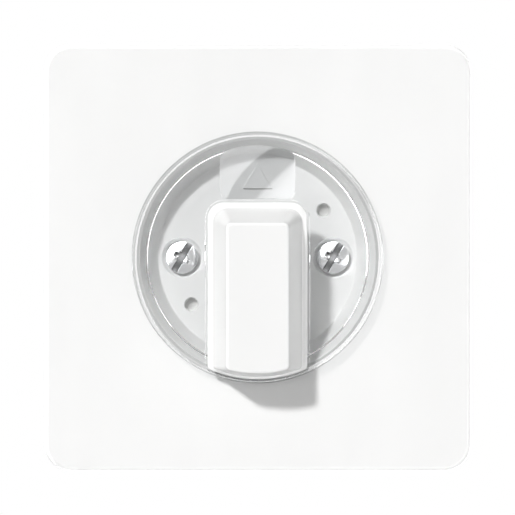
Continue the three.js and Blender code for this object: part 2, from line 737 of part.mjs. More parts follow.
/** The right contact arm: an eye at its pivot, a nub that rides the cam and a blade to the contact. */
function contactArm() {
  const nubX = CAM_R - CAM_FALL / 2 + 0.25;
  const blade = polygon([
    [PIVOT_X - 1.6, PIVOT_Y],
    [PIVOT_X + 1.6, PIVOT_Y],
    [PIVOT_X + 0.6, PIVOT_Y + 5],
    [PIVOT_X + 0.6, ARM_TOP_Y],
    [PIVOT_X - 1, ARM_TOP_Y],
    [PIVOT_X - 1, PIVOT_Y + 5],
  ]);
  const nub = polygon([
    [nubX + 2, -2.2],
    [nubX + 2, 2.2],
    [nubX + 0.6, 0.9],
    [nubX, 0.35],
    [nubX, -0.35],
    [nubX + 0.6, -0.9],
  ]);
  const low = CONTACT_Z - ARM_THICK / 2;
  const high = CONTACT_Z + ARM_THICK / 2;
  const eye = bar(ARM_EYE_R, low, high, PIVOT_X, PIVOT_Y);
  const arm = join(slab(blade, low, high), slab(nub, low, high), eye);
  return cut(arm, bar(ARM_BORE_R, low - 1, high + 1, PIVOT_X, PIVOT_Y, 14));
}

const silverTip = (x, thick) => {
  const tip = new THREE.CylinderGeometry(CONTACT_R, CONTACT_R, thick, 16).rotateZ(Math.PI / 2);
  return tip.translate(x + thick / 2, CONTACT_Y, CONTACT_Z);
};

function pivotPin() {
  const headLow = CONTACT_Z + ARM_THICK / 2 + GAP;
  const headHigh = headLow + 0.7;
  const pin = bar(PIN_R, COMMON_BAR_BACK - GAP, headHigh, PIVOT_X, PIVOT_Y, 14);
  return join(pin, bar(PIN_HEAD_R, headLow, headHigh, PIVOT_X, PIVOT_Y, 14));
}

/** The right fixed contact's strip, from the contact down to its terminal. */
function fixedStrip() {
  const upright = block(STRIP_THICK, 7, 12, STRIP_X, CONTACT_Y + 1.5, -16.2);
  const foot = block(2.9, 5, STRIP_THICK, STRIP_X - 1.05, CONTACT_Y + 2.5, -21.8);
  return join(upright, foot);
}

function commonBar() {
  const outline = roundedRectangle(COMMON_BAR_LENGTH, COMMON_BAR_HEIGHT, 1, 0, PIVOT_Y);
  const strip = slab(outline, COMMON_BAR_BACK, COMMON_BAR_BACK + STRIP_THICK);
  const holes = bothSides.map((side) => bar(PIN_R + GAP, -18, -14, side * PIVOT_X, PIVOT_Y, 14));
  return cut(strip, ...holes);
}

function terminalBlock() {
  const body = block(TERMINAL_WIDTH, TERMINAL_HEIGHT, TERMINAL_FRONT - TERMINAL_BACK,
    0, 0, (TERMINAL_FRONT + TERMINAL_BACK) / 2);
  const wire = uprightBar(WIRE_R, -TERMINAL_HEIGHT, TERMINAL_HEIGHT, 0, WIRE_Z);
  return cut(body, wire, bar(SCREW_BORE_R, TERMINAL_BACK - 1, WIRE_Z, 0, 0, 14));
}

function terminalScrew() {
  const screw = slottedScrew({
    headR: 2.1,
    headTop: 1.9,
    headThick: 1.6,
    shankR: 1.2,
    tip: -1.6,
    slot: 0.6,
    angle: 35,
    dome: 0.2,
  });
  return screw.rotateX(Math.PI).translate(0, 0, TERMINAL_BACK);
}

function housingScrew() {
  return slottedScrew({
    headR: 2.3,
    headTop: 3.5,
    headThick: 1.7,
    shankR: 1.2,
    tip: -15,
    slot: 0.6,
    angle: 20,
    dome: 0.4,
  });
}

// ---- Claws ----------------------------------------------------------------------------------

function clawScrew() {
  return slottedScrew({
    headR: 2.8,
    headTop: 3.6,
    headThick: 1.8,
    shankR: CLAW_SCREW_R,
    tip: -24,
    slot: 0.8,
    angle: 75,
    dome: 0.4,
  });
}

function clawNut() {
  const body = block(5, 10.4, 3, CLAW_SCREW_X, 0, CLAW_NUT_Z);
  return cut(body, bar(CLAW_SCREW_R + FIT, CLAW_NUT_Z - 3, CLAW_NUT_Z + 3, CLAW_SCREW_X));
}

/** The right claw: two legs, hooked into the support plate, and a toothed web across their ends. */
function claw() {
  const p = CLAW_PIVOT_X;
  const leg = [
    [p - 0.7, 1.3],
    [p + 0.5, 1.3],
    [p + 0.5, -12],
    [p + 1.2, CLAW_END],
    [p - 0.1, CLAW_END],
    [p - 0.4, -17.5],
    [p - CLAW_RAMP_TOP + 0.05, -11.9],
    [p - CLAW_RAMP_TOP + 0.05, -8.5],
    [p - 0.7, -1.5],
  ];
  const web = [[p - 0.1, CLAW_END], [p + 1.2, CLAW_END], [p + 0.75, -15], [p - 0.25, -15]];
  const tooth = [[p + 0.9, -21.6], [p + 2.1, -20.2], [p + 0.9, -18.6], [p + 0.4, -20]];
  const sideView = (points, low, high) =>
    slab(polygon(points.map(([x, z]) => [x, -z])), low, high).rotateX(-Math.PI / 2);
  const legs = bothSides.map((side) =>
    sideView(leg, side * CLAW_LEG_Y - CLAW_THICK / 2, side * CLAW_LEG_Y + CLAW_THICK / 2));
  const teeth = [-3.2, 0, 3.2].map((y) => sideView(tooth, y - 0.9, y + 0.9));
  return join(...legs, sideView(web, -4.5, 4.5), ...teeth);
}

// ---- The switch -----------------------------------------------------------------------------

const insideSwitch = new THREE.Group();

function place(name, geometry, material, x = 0, y = 0) {
  const mesh = new THREE.Mesh(geometry, material());
  mesh.name = name;
  mesh.position.set(x, y, 0);
  insideSwitch.add(mesh);
  return mesh;
}

const sides = [["left", -1], ["right", 1]];
const ends = [["top", 1], ["bottom", -1]];

place("cover_plate", coverPlate(), whitePlastic);
place("knob_disc", knobDisc(), clearPlastic);
place("knob_handle", knobHandle(), whitePlastic);
place("knob_clip", knobClip(), springSteel);
place("support_plate", supportPlate(), zincSteel);
place("bearing_plate", bearingPlate(), greyPlastic);
place("spindle", spindle(), zincSteel);
place("spindle_circlip", circlip(), springSteel);
place("index_wheel", indexWheel(), camPlastic);
place("cam_drum", camDrum(), camPlastic);
place("common_bar", commonBar(), brass);

for (const [side, sign] of sides) {
  const flip = (geometry) => (sign > 0 ? geometry : mirrored(geometry));
  place(`cover_screw_${side}`, coverScrew(), zincSteel, sign * COVER_SCREW_X);
  place(`contact_arm_${side}`, flip(contactArm()), brass);
  place(`moving_contact_${side}`, flip(silverTip(PIVOT_X + 0.8, 0.9)), silver);
  place(`fixed_contact_${side}`, flip(silverTip(STRIP_X - 1.3, 0.7)), silver);
  place(`fixed_strip_${side}`, flip(fixedStrip()), brass);
  place(`pivot_pin_${side}`, flip(pivotPin()), zincSteel);
  place(`claw_${side}`, flip(claw()), zincSteel);
  place(`claw_nut_${side}`, flip(clawNut()), brass);
  place(`claw_screw_${side}`, clawScrew(), zincSteel, sign * CLAW_SCREW_X);
}

for (const [end, sign] of ends) {
  const turn = sign > 0 ? 0 : Math.PI;
  place(`detent_plunger_${end}`, detentPlunger(), darkPlastic).rotation.z = turn;
  place(`detent_spring_${end}`, detentSpring(), springSteel).rotation.z = turn;
}

place("housing_base", housingBase(), greyPlastic);

housingCorners.forEach(([sx, sy], i) => {
  const number = i + 1;
  place(`terminal_block_${number}`, terminalBlock(), brass, sx * TERMINAL_X, sy * TERMINAL_Y);
  place(`terminal_screw_${number}`, terminalScrew(), zincSteel, sx * TERMINAL_X, sy * TERMINAL_Y);
  place(`housing_screw_${number}`, housingScrew(), zincSteel, sx * HOUSING_SCREW_X, sy * HOUSING_SCREW_Y);
});

const wallSwitch = new THREE.Group();
insideSwitch.rotation.x = Math.PI / 2;
wallSwitch.add(insideSwitch);

export default wallSwitch;
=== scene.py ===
"""Looks of the flush-mounted rotary wall switch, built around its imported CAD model.

Pieces are drawn in the switch's own axes, in millimetres: x to the right, y up and z out of the
wall. TO_ROW turns those into the row frame, in metres.
"""

import json
import math

import bmesh
import bpy
from mathutils import Matrix, Vector


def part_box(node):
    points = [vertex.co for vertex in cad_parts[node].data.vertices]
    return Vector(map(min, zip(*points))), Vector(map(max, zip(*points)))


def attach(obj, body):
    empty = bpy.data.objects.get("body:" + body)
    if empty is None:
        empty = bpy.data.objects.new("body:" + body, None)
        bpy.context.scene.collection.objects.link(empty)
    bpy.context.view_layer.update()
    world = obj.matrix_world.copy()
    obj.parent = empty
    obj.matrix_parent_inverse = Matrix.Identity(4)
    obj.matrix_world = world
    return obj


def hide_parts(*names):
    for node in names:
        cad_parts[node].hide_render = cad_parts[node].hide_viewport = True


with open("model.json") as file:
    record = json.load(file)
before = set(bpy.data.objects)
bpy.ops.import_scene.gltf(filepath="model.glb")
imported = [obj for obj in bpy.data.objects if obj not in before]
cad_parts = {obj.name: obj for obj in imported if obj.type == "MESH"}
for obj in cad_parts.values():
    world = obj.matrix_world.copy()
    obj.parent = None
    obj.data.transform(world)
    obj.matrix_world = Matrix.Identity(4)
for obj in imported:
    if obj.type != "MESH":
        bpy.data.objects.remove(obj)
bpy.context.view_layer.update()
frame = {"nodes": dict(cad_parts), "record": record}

SIDES = {"left": -1, "right": 1}
TO_ROW = Matrix.Rotation(math.pi / 2, 4, "X") @ Matrix.Scale(0.001, 4)


def own_box(node):
    """The lowest and highest corners of a CAD node in the switch's own axes, in millimetres."""
    low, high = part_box(node)
    return Vector((low.x, low.z, -high.y)) * 1000, Vector((high.x, high.z, -low.y)) * 1000


def node_centre(node):
    """The middle of a CAD node, seen from the front."""
    low, high = own_box(node)
    return (low.x + high.x) / 2, (low.y + high.y) / 2


# ---- Sizes, in millimetres ------------------------------------------------------------------

COVER_LOW, COVER_HIGH = own_box("cover_plate")
DISC_HIGH = own_box("knob_disc")[1]
HANDLE_LOW, HANDLE_HIGH = own_box("knob_handle")
SUPPORT_LOW, SUPPORT_HIGH = own_box("support_plate")
HOUSING_LOW, HOUSING_HIGH = own_box("housing_base")
BEARING_LOW, BEARING_HIGH = own_box("bearing_plate")
HEAD_LOW, HEAD_HIGH = own_box("cover_screw_right")

PLATE = 2 * COVER_HIGH.x
PLATE_FRONT = COVER_HIGH.z
PLATE_CORNER = 4.5
PLATE_EDGE = 0.8
PLATE_WALL = 1.5
PLATE_SKIN = 2.0
WELL_TOP_R = 19.3
WELL_FLOOR_R = 16.45
WELL_FLOOR = 4.0
WELL_UNDER = 2.2
HUB_HOLE_R = 7.0
SCREW_X = (HEAD_LOW.x + HEAD_HIGH.x) / 2
SCREW_HOLE_R = 1.65
COUNTERBORE_DEPTH = 0.9
DIMPLE_DEPTH = 1.2
DIMPLE_R = 13.4
DIMPLE_ANGLE = math.radians(35.5)

OVERLAP = 0.1  # of a screw's shank into its head
COVER_HEAD = 1.3  # thickness of a screw's head
CLAW_HEAD = 1.8
HOUSING_HEAD = 1.7
TERMINAL_HEAD_BOTTOM = 0.3
TERMINAL_HEAD_TOP = 1.9

DISC_R = DISC_HIGH.x
DISC_BOTTOM = 10.3
DISC_TOP = 12.3
STEP_R = 18.1
STEP_BOTTOM = 9.7
GROOVE_WIDTH = 0.17
GROOVE_DEPTH = 0.12
PAD_R = 19.15
PAD_HALF_ANGLE = 9
SEAT_FLOOR = DISC_TOP - 0.7
SEAT_GAP = 0.3
LENS_HALF_WIDTH = 6.15
LENS_BOTTOM_Y = 9.5
LENS_TOP_R = 18.2
LENS_TOP = DISC_HIGH.z
LENS_DOME_R = 18.0

HANDLE_TOP = HANDLE_HIGH.z
HANDLE_BASE = SEAT_FLOOR + SEAT_GAP
HUB_R = 6.0
HUB_BOTTOM = HANDLE_LOW.z
PEG_R = 1.2
PEG_HOLE_R = 1.5
PEG_PLACES = [(-4, -13), (4, -13)]
SPINDLE_BORE_R = 3.15
SPINDLE_BORE_TOP = 14.8
SPINDLE_FLAT = 2.35


# ---- Meshes ---------------------------------------------------------------------------------

def arc(centre, radius, start, end, steps):
    """Points of an arc, angles in degrees, both ends included."""
    return [
        (
            centre[0] + radius * math.cos(math.radians(start + (end - start) * i / steps)),
            centre[1] + radius * math.sin(math.radians(start + (end - start) * i / steps)),
        )
        for i in range(steps + 1)
    ]


def rounded_rectangle(width, height, corner, centre=(0, 0), steps=12):
    x, y = width / 2 - corner, height / 2 - corner
    corners = [(x, -y, -90), (x, y, 0), (-x, y, 90), (-x, -y, 180)]
    return [
        point
        for cx, cy, start in corners
        for point in arc((centre[0] + cx, centre[1] + cy), corner, start, start + 90, steps)
    ]


def loft(rings):
    """A closed solid through rings of points of one length, from the lowest ring to the highest."""
    mesh = bmesh.new()
    layers = [[mesh.verts.new(point) for point in ring] for ring in rings]
    for lower, upper in zip(layers, layers[1:]):
        for i in range(len(lower)):
            j = (i + 1) % len(lower)
            mesh.faces.new((lower[i], lower[j], upper[j], upper[i]))
    mesh.faces.new(list(reversed(layers[0])))
    mesh.faces.new(layers[-1])
    return as_object(mesh)


def prism(outline, low, high):
    return loft([[(x, y, z) for x, y in outline] for z in (low, high)])


def lathe(profile, sides=96, centre=(0, 0)):
    """A profile of (radius, z) points, anticlockwise, turned about z. It starts and ends on the
    axis, or closes on itself."""
    mesh = bmesh.new()
    columns = []
    for radius, z in profile:
        if radius < 1e-6:
            columns.append([mesh.verts.new((centre[0], centre[1], z))] * sides)
        else:
            columns.append([
                mesh.verts.new((
                    centre[0] + radius * math.cos(2 * math.pi * i / sides),
                    centre[1] + radius * math.sin(2 * math.pi * i / sides),
                    z,
                ))
                for i in range(sides)
            ])
    closed = profile[0][0] > 1e-6
    pairs = list(zip(columns, columns[1:])) + ([(columns[-1], columns[0])] if closed else [])
    for inner, outer in pairs:
        for i in range(sides):
            j = (i + 1) % sides
            corners = list(dict.fromkeys((inner[i], inner[j], outer[j], outer[i])))
            if len(corners) > 2:
                mesh.faces.new(corners)
    return as_object(mesh)


def cylinder(radius, low, high, centre=(0, 0), sides=48):
    return lathe([(0, low), (radius, low), (radius, high), (0, high)], sides, centre)


def brick(low, high):
    return prism([(low[0], low[1]), (high[0], low[1]), (high[0], high[1]), (low[0], high[1])],
                 low[2], high[2])


def as_object(mesh, name="tool"):
    bmesh.ops.recalc_face_normals(mesh, faces=mesh.faces)
    data = bpy.data.meshes.new(name)
    mesh.to_mesh(data)
    mesh.free()
    obj = bpy.data.objects.new(name, data)
    bpy.context.scene.collection.objects.link(obj)
    return obj


def turn(obj, angle=0.0, axis="Z", move=(0, 0, 0)):
    obj.data.transform(Matrix.Translation(move) @ Matrix.Rotation(math.radians(angle), 4, axis))
    return obj


def settle(obj):
    """Puts the result of an object's modifiers in its mesh."""
    graph = bpy.context.evaluated_depsgraph_get()
    graph.update()
    result = bpy.data.meshes.new_from_object(obj.evaluated_get(graph))
    obj.modifiers.clear()
    obj.data = result
    return obj


def combine(base, tools, operation):
    """Joins, cuts or intersects a solid with others, which are used up."""
    for tool in tools:
        modifier = base.modifiers.new("combine", "BOOLEAN")
        modifier.operation = operation
        modifier.solver = "EXACT"
        modifier.object = tool
    settle(base)
    for tool in tools:
        bpy.data.objects.remove(tool)
    return base


def cut(base, *tools):
    return combine(base, tools, "DIFFERENCE")


def join(base, *others):
    return combine(base, others, "UNION")


def merge(base, *others):
    """Puts closed shells into one mesh as they are."""
    mesh = bmesh.new()
    for obj in (base, *others):
        mesh.from_mesh(obj.data)
    mesh.to_mesh(base.data)
    mesh.free()
    for obj in others:
        bpy.data.objects.remove(obj)
    return base


def bevel(obj, width, segments=3, angle=35):
    modifier = obj.modifiers.new("bevel", "BEVEL")
    modifier.width = width
    modifier.segments = segments
    modifier.limit_method = "ANGLE"
    modifier.angle_limit = math.radians(angle)
    modifier.use_clamp_overlap = True
    return settle(obj)


def piece(obj, name, body, slot_name, nodes, smooth=40):
    """Finishes a piece: its place in the row frame, shading, material, body and CAD nodes."""
    obj.name = name
    obj.data.name = name
    tidy = bmesh.new()
    tidy.from_mesh(obj.data)
    bmesh.ops.remove_doubles(tidy, verts=tidy.verts, dist=1e-4)
    bmesh.ops.dissolve_degenerate(tidy, dist=1e-4, edges=tidy.edges)
    tidy.to_mesh(obj.data)
    tidy.free()
    obj.data.transform(TO_ROW)
    shade(obj, smooth)
    obj.data.materials.clear()
    obj.data.materials.append(MATERIALS[slot_name])
    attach(obj, body)
    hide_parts(*nodes)


def shade(obj, angle):
    """Smooth shading between faces that meet at less than the angle, flat faces kept flat."""
    obj.data.shade_smooth()
    obj.data.set_sharp_from_angle(angle=math.radians(angle))
    modifier = obj.modifiers.new("normals", "WEIGHTED_NORMAL")
    modifier.keep_sharp = True
    modifier.weight = 100


# ---- Materials ------------------------------------------------------------------------------

class Nodes:
    """Builds one node material round its Principled shader."""

    def __init__(self, name):
        self.material = bpy.data.materials.new(name)
        self.material.use_nodes = True
        self.tree = self.material.node_tree
        self.shader = self.tree.nodes["Principled BSDF"]
        self.place = self.add("ShaderNodeTexCoord").outputs["Object"]

    def add(self, kind, **settings):
        node = self.tree.nodes.new(kind)
        for key, value in settings.items():
            setattr(node, key, value)
        return node

    def link(self, source, target):
        self.tree.links.new(source, target)

    def stretched(self, scale):
        """Object coordinates scaled apart on each axis."""
        mapping = self.add("ShaderNodeMapping")
        mapping.inputs["Scale"].default_value = scale
        self.link(self.place, mapping.inputs["Vector"])
        return mapping.outputs["Vector"]

    def noise(self, scale, detail=3.0, rough=0.5, vector=None):
        node = self.add("ShaderNodeTexNoise")
        node.inputs["Scale"].default_value = scale
        node.inputs["Detail"].default_value = detail
        node.inputs["Roughness"].default_value = rough
        self.link(vector or self.place, node.inputs["Vector"])
        return node.outputs["Fac"]

    def ramp(self, source, low, high, start=0.35, end=0.65):
        """A colour or value that goes from low to high as the source goes from start to end."""
        node = self.add("ShaderNodeValToRGB")
        first, last = node.color_ramp.elements
        first.position, last.position = start, end
        first.color = low if isinstance(low, tuple) else grey(low)
        last.color = high if isinstance(high, tuple) else grey(high)
        self.link(source, node.inputs["Fac"])
        return node.outputs["Color"]

    def mix(self, factor, a, b):
        node = self.add("ShaderNodeMix", data_type="RGBA")
        self.link(factor, node.inputs["Factor"])
        self.link(a, node.inputs["A"])
        self.link(b, node.inputs["B"])
        return node.outputs["Result"]

    def height(self):
        """The row's Y of a point, which is minus its distance out of the wall, in metres."""
        axes = self.add("ShaderNodeSeparateXYZ")
        self.link(self.place, axes.inputs[0])
        return axes.outputs["Y"]

    def tinted(self, factor, colour, tint):
        """A colour multiplied by a tint where the factor is 1."""
        node = self.add("ShaderNodeMix", data_type="RGBA", blend_type="MULTIPLY")
        node.inputs["B"].default_value = tint
        self.link(factor, node.inputs["Factor"])
        self.link(colour, node.inputs["A"])
        return node.outputs["Result"]

    def spread(self, source, start, end, low=0.0, high=1.0):
        """A value that goes from low to high as the source goes from start to end."""
        node = self.add("ShaderNodeMapRange")
        for name, value in (("From Min", start), ("From Max", end), ("To Min", low), ("To Max", high)):
            node.inputs[name].default_value = value
        self.link(source, node.inputs["Value"])
        return node.outputs["Result"]

    def bump(self, height, distance, strength=1.0, before=None):
        node = self.add("ShaderNodeBump")
        node.inputs["Strength"].default_value = strength
        node.inputs["Distance"].default_value = distance
        self.link(height, node.inputs["Height"])
        if before:
            self.link(before, node.inputs["Normal"])
        return node.outputs["Normal"]

    def edges(self, low, high, start=0.505, end=0.56):
        """Brighter or darker along convex edges."""
        geometry = self.add("ShaderNodeNewGeometry")
        return self.ramp(geometry.outputs["Pointiness"], low, high, start, end)

    def set(self, **values):
        for key, value in values.items():
            self.shader.inputs[key.replace("_", " ")].default_value = value

    def feed(self, **sources):
        for key, source in sources.items():
            self.link(source, self.shader.inputs[key.replace("_", " ")])


def grey(value):
    return (value, value, value, 1)


# Painted shade: the colour that darkens the white plastic in the cover's dimples and all white plastic as low
DIMPLE_PAINTED_SHADE = (0.62, 0.62, 0.61, 1)
DIMPLE_SHADE_HEIGHTS = (3.05, 2.85)  # heights near the floor of the cover's dimples, over which painted shade fades in


def moulded(name, colour, shade_range=0.015, roughness=(0.15, 0.22), grain=1500, relief=1.5e-6,
            ior=1.46, shade_heights=None):
    """Injection-moulded plastic: faint flow shading, a fine spark-eroded grain, a lighter colour along convex
    edges.

    Two heights in shade_heights leave it unchanged above the first and darken it with painted shade below the
    second, for the shade that falls in recesses.
    """
    n = Nodes(name)
    dark = tuple(c * (1 - shade_range) for c in colour) + (1,)
    light = tuple(min(1, c * (1 + shade_range)) for c in colour) + (1,)
    flow = n.noise(60, 2, 0.5, n.stretched((1, 1, 0.4)))
    tone = n.mix(n.edges(0.0, 0.5), n.ramp(flow, dark, light), n.ramp(flow, light, light))
    # painted shade: darker below the given heights, where the cover's dimples lie in shade
    if shade_heights:
        recess_shade = n.spread(n.height(), -shade_heights[0] / 1000, -shade_heights[1] / 1000)
        tone = n.tinted(recess_shade, tone, DIMPLE_PAINTED_SHADE)
    n.feed(
        Base_Color=tone,
        Roughness=n.ramp(n.noise(500, 4, 0.6), roughness[0], roughness[1]),
        Normal=n.bump(n.noise(grain, 3, 0.6), relief, 0.6, n.bump(n.noise(25, 1), 4e-5, 0.25)),
    )
    n.set(IOR=ior)
    return n.material


# Painted shade over the lens window, standing for the shaded floor seen through it
LENS_PAINTED_SHADE = (0.52, 0.525, 0.53, 1)
LENS_SEAM = DISC_TOP + 0.12  # painted shade darkens the lens above this height
SHADOW_TINT = (0.91, 0.915, 0.917, 1)  # of light that has come through the disc
RIM_SPAN = 0.021  # radius in metres at the end of the rim's ramp
RIM_PAINTED_SHADE = [(19.2, 0.97), (19.32, 0.66), (19.6, 0.66), (19.74, 0.9), (19.88, 0.9), (20.0, 0.56),
            (20.3, 0.52), (20.45, 0.42)]  # (radius, brightness): painted shade rings on the rim, with a lighter band between them as a painted bright line
DULL_FROM, DULL_TO = 0.0193, 0.0195  # radii between which the rim turns dull


def clear_plastic(name):
    """Clear acrylic that lets lamps through, with faint ripples and hairlines on its skin, painted shade
    rings and a painted bright line on its rim, and painted shade over its lens window.
    """
    n = Nodes(name)
    n.set(IOR=1.49, Transmission_Weight=1.0)
    flat = n.add("ShaderNodeVectorMath", operation="MULTIPLY")
    flat.inputs[1].default_value = (1 / RIM_SPAN, 0, 1 / RIM_SPAN)
    n.link(n.place, flat.inputs[0])
    radius = n.add("ShaderNodeVectorMath", operation="LENGTH")
    n.link(flat.outputs["Vector"], radius.inputs[0])
    # Painted shade: the base colour falls off in rings on the rim, with a lighter band as a painted bright
    # line
    rings = n.ramp(radius.outputs["Value"], 0.97, 0.9, 0.0, 1.0)
    rim = rings.node.color_ramp.elements
    for r, value in RIM_PAINTED_SHADE:
        rim.new(r / 1000 / RIM_SPAN).color = grey(value)
    # The lens above LENS_SEAM gets the painted shade of LENS_PAINTED_SHADE
    lifted = n.add("ShaderNodeMath", operation="LESS_THAN")
    lifted.inputs[1].default_value = -LENS_SEAM / 1000
    n.link(n.height(), lifted.inputs[0])
    hair = n.noise(700, 2, 0.5, n.stretched((0.15, 1, 3)))
    n.feed(
        Base_Color=n.tinted(lifted.outputs["Value"], rings, LENS_PAINTED_SHADE),
        Specular_IOR_Level=n.spread(
            radius.outputs["Value"], DULL_FROM / RIM_SPAN, DULL_TO / RIM_SPAN, 0.5, 0.1),
        Roughness=n.ramp(hair, 0.0, 0.02, 0.55, 0.85),
        Normal=n.bump(n.noise(60, 1), 4e-6, 0.3),
    )
    clear = n.add("ShaderNodeBsdfTransparent")
    clear.inputs["Color"].default_value = SHADOW_TINT
    rays = n.add("ShaderNodeLightPath")
    straight = n.add("ShaderNodeMath", operation="MAXIMUM")
    n.link(rays.outputs["Is Shadow Ray"], straight.inputs[0])
    n.link(rays.outputs["Is Diffuse Ray"], straight.inputs[1])
    blend = n.add("ShaderNodeMixShader")
    n.link(straight.outputs["Value"], blend.inputs["Fac"])
    n.link(n.shader.outputs["BSDF"], blend.inputs[1])
    n.link(clear.outputs["BSDF"], blend.inputs[2])
    n.link(blend.outputs["Shader"], n.tree.nodes["Material Output"].inputs["Surface"])
    return n.material


def metal(name, colour, tint, roughness, brushed=(1, 1, 1), relief=1.2e-6, wear=0.12):
    """Plated or rolled metal: blotchy tint, rolling lines, bright worn edges, and painted shade darkening its
    hollows such as screw slots.
    """
    n = Nodes(name)
    lines = n.noise(1400, 3, 0.65, n.stretched(brushed))
    blotch = n.ramp(n.noise(140, 4, 0.6), colour + (1,), tint + (1,))
    bright = tuple(min(1, c * (1 + wear)) for c in colour) + (1,)
    # Painted shade: the base colour goes nearly black where ambient occlusion finds a hollow, such as a
    # screw's slot
    hollow_occlusion = n.add("ShaderNodeAmbientOcclusion", samples=6, only_local=True)
    hollow_occlusion.inputs["Distance"].default_value = 0.0012
    painted_hollow_shade = n.ramp(hollow_occlusion.outputs["AO"], 0.05, 1.0, 0.52, 0.92)
    shaded = n.add("ShaderNodeMix", data_type="RGBA", blend_type="MULTIPLY")
    shaded.inputs["Factor"].default_value = 1.0
    n.link(n.mix(n.edges(0.0, 1.0), blotch, n.ramp(lines, bright, bright)), shaded.inputs["A"])
    n.link(painted_hollow_shade, shaded.inputs["B"])
    n.feed(
        Base_Color=shaded.outputs["Result"],
        Roughness=n.ramp(lines, roughness[0], roughness[1], 0.3, 0.7),
        Normal=n.bump(lines, relief, 0.5),
    )
    n.set(Metallic=1.0)
    return n.material


MATERIALS = {
    "white_plastic": moulded("white_plastic", (0.862, 0.862, 0.857), ior=1.42, shade_heights=DIMPLE_SHADE_HEIGHTS),
    "clear_plastic": clear_plastic("clear_plastic"),
    "grey_plastic": moulded("grey_plastic", (0.60, 0.61, 0.62), 0.04, (0.42, 0.55), 1500, 1.6e-5),
    "dark_plastic": moulded("dark_plastic", (0.035, 0.035, 0.038), 0.1, (0.35, 0.5)),
    "cam_plastic": moulded("cam_plastic", (0.72, 0.66, 0.5), 0.03, (0.3, 0.42)),
    "bright_steel": metal("bright_steel", (0.86, 0.87, 0.88), (0.8, 0.81, 0.83), (0.1, 0.2), (1, 1, 4)),
    "zinc_steel": metal("zinc_steel", (0.68, 0.70, 0.73), (0.60, 0.62, 0.66), (0.24, 0.42), (0.2, 1, 1)),
    "spring_steel": metal("spring_steel", (0.55, 0.56, 0.58), (0.48, 0.49, 0.52), (0.2, 0.32)),
    "brass": metal("brass", (0.80, 0.60, 0.28), (0.70, 0.50, 0.22), (0.22, 0.38), (0.3, 1, 1)),
    "silver": metal("silver", (0.88, 0.87, 0.84), (0.8, 0.79, 0.75), (0.15, 0.28)),
}


# ---- Cover ----------------------------------------------------------------------------------

def cover_ring(inset, z):
    side = PLATE - 2 * inset
    return [(x, y, z) for x, y in rounded_rectangle(side, side, PLATE_CORNER - inset, steps=16)]


def hole_with_edge(radius, low, top, edge=0.15):
    """A cutter for a round hole on the axis, with a rounded rim."""
    rim = [(radius + edge * (1 - math.cos(a)), top - edge * (1 - math.sin(a)))
           for a in (0, math.pi / 6, math.pi / 3)]
    return lathe([(0, low), (radius, low), *rim, (radius + edge, top), (radius + edge, top + 1),
                  (0, top + 1)], 64)


def counterbore(centre):
    """A cutter for the tapered seat round a cover screw's head."""
    low = WELL_FLOOR - COUNTERBORE_DEPTH
    return lathe([(0, low), (2.9, low), (2.98, low + 0.05), (3.3, WELL_FLOOR - 0.05),
                  (3.38, WELL_FLOOR), (3.4, WELL_FLOOR + 1), (0, WELL_FLOOR + 1)], 72, centre)


def dimple(centre):
    """A cutter for a blind hole with a rounded floor."""
    low = WELL_FLOOR - DIMPLE_DEPTH
    return lathe([(0, low), (0.8, low), (0.95, low + 0.05), (1.05, low + 0.2),
                  (1.2, WELL_FLOOR - 0.05), (1.22, WELL_FLOOR), (1.22, WELL_FLOOR + 1),
                  (0, WELL_FLOOR + 1)], 40, centre)


def make_cover():
    edge_steps = 10
    edge = [
        cover_ring(PLATE_EDGE * (1 - math.cos(a)), PLATE_FRONT - PLATE_EDGE * (1 - math.sin(a)))
        for a in (math.pi / 2 * i / edge_steps for i in range(edge_steps + 1))
    ]
    shell = loft([cover_ring(0.15, COVER_LOW.z), cover_ring(0, COVER_LOW.z + 0.15), *edge])
    inside = PLATE - 2 * PLATE_WALL
    hollow = prism(rounded_rectangle(inside, inside, 3.0), 0, PLATE_FRONT - PLATE_SKIN)
    dish = lathe([(0, WELL_UNDER), (WELL_FLOOR_R + 1.2, WELL_UNDER), (WELL_FLOOR_R + 1.5, WELL_UNDER + 0.2),
                  (WELL_TOP_R + 1.5, PLATE_FRONT - 0.8), (0, PLATE_FRONT - 0.8)], 128)
    join(cut(shell, hollow), dish)
    lean = math.degrees(math.atan2(PLATE_FRONT - WELL_FLOOR, WELL_TOP_R - WELL_FLOOR_R))
    floor_round = 0.35
    foot = arc((WELL_FLOOR_R - floor_round * math.tan(math.radians(lean / 2)), WELL_FLOOR + floor_round),
               floor_round, -90, lean - 90, 5)
    lip = 0.25
    lip_centre = (WELL_TOP_R + lip * math.tan(math.radians(lean / 2)), PLATE_FRONT - lip)
    brow = arc(lip_centre, lip, lean + 90, 90, 5)
    well = lathe([(0, WELL_FLOOR), *foot, *brow, (lip_centre[0], PLATE_FRONT + 1), (0, PLATE_FRONT + 1)], 192)
    tools = [well, hole_with_edge(HUB_HOLE_R, 0, WELL_FLOOR)]
    for side in (-1, 1):
        tools.append(counterbore((side * SCREW_X, 0)))
        tools.append(cylinder(SCREW_HOLE_R, 0, WELL_FLOOR, (side * SCREW_X, 0)))
        tools.append(dimple((side * DIMPLE_R * math.cos(DIMPLE_ANGLE),
                             side * DIMPLE_R * math.sin(DIMPLE_ANGLE))))
    cut(shell, *tools)
    pointer = prism([(-1.9, 12), (1.9, 12), (0, 15.2)], WELL_FLOOR - 0.3, WELL_FLOOR + 0.3)
    bevel(pointer, 0.1, 2)
    join(shell, pointer)
    piece(shell, "cover", "insert", "white_plastic", ["cover_plate"])


# ---- Screws ---------------------------------------------------------------------------------

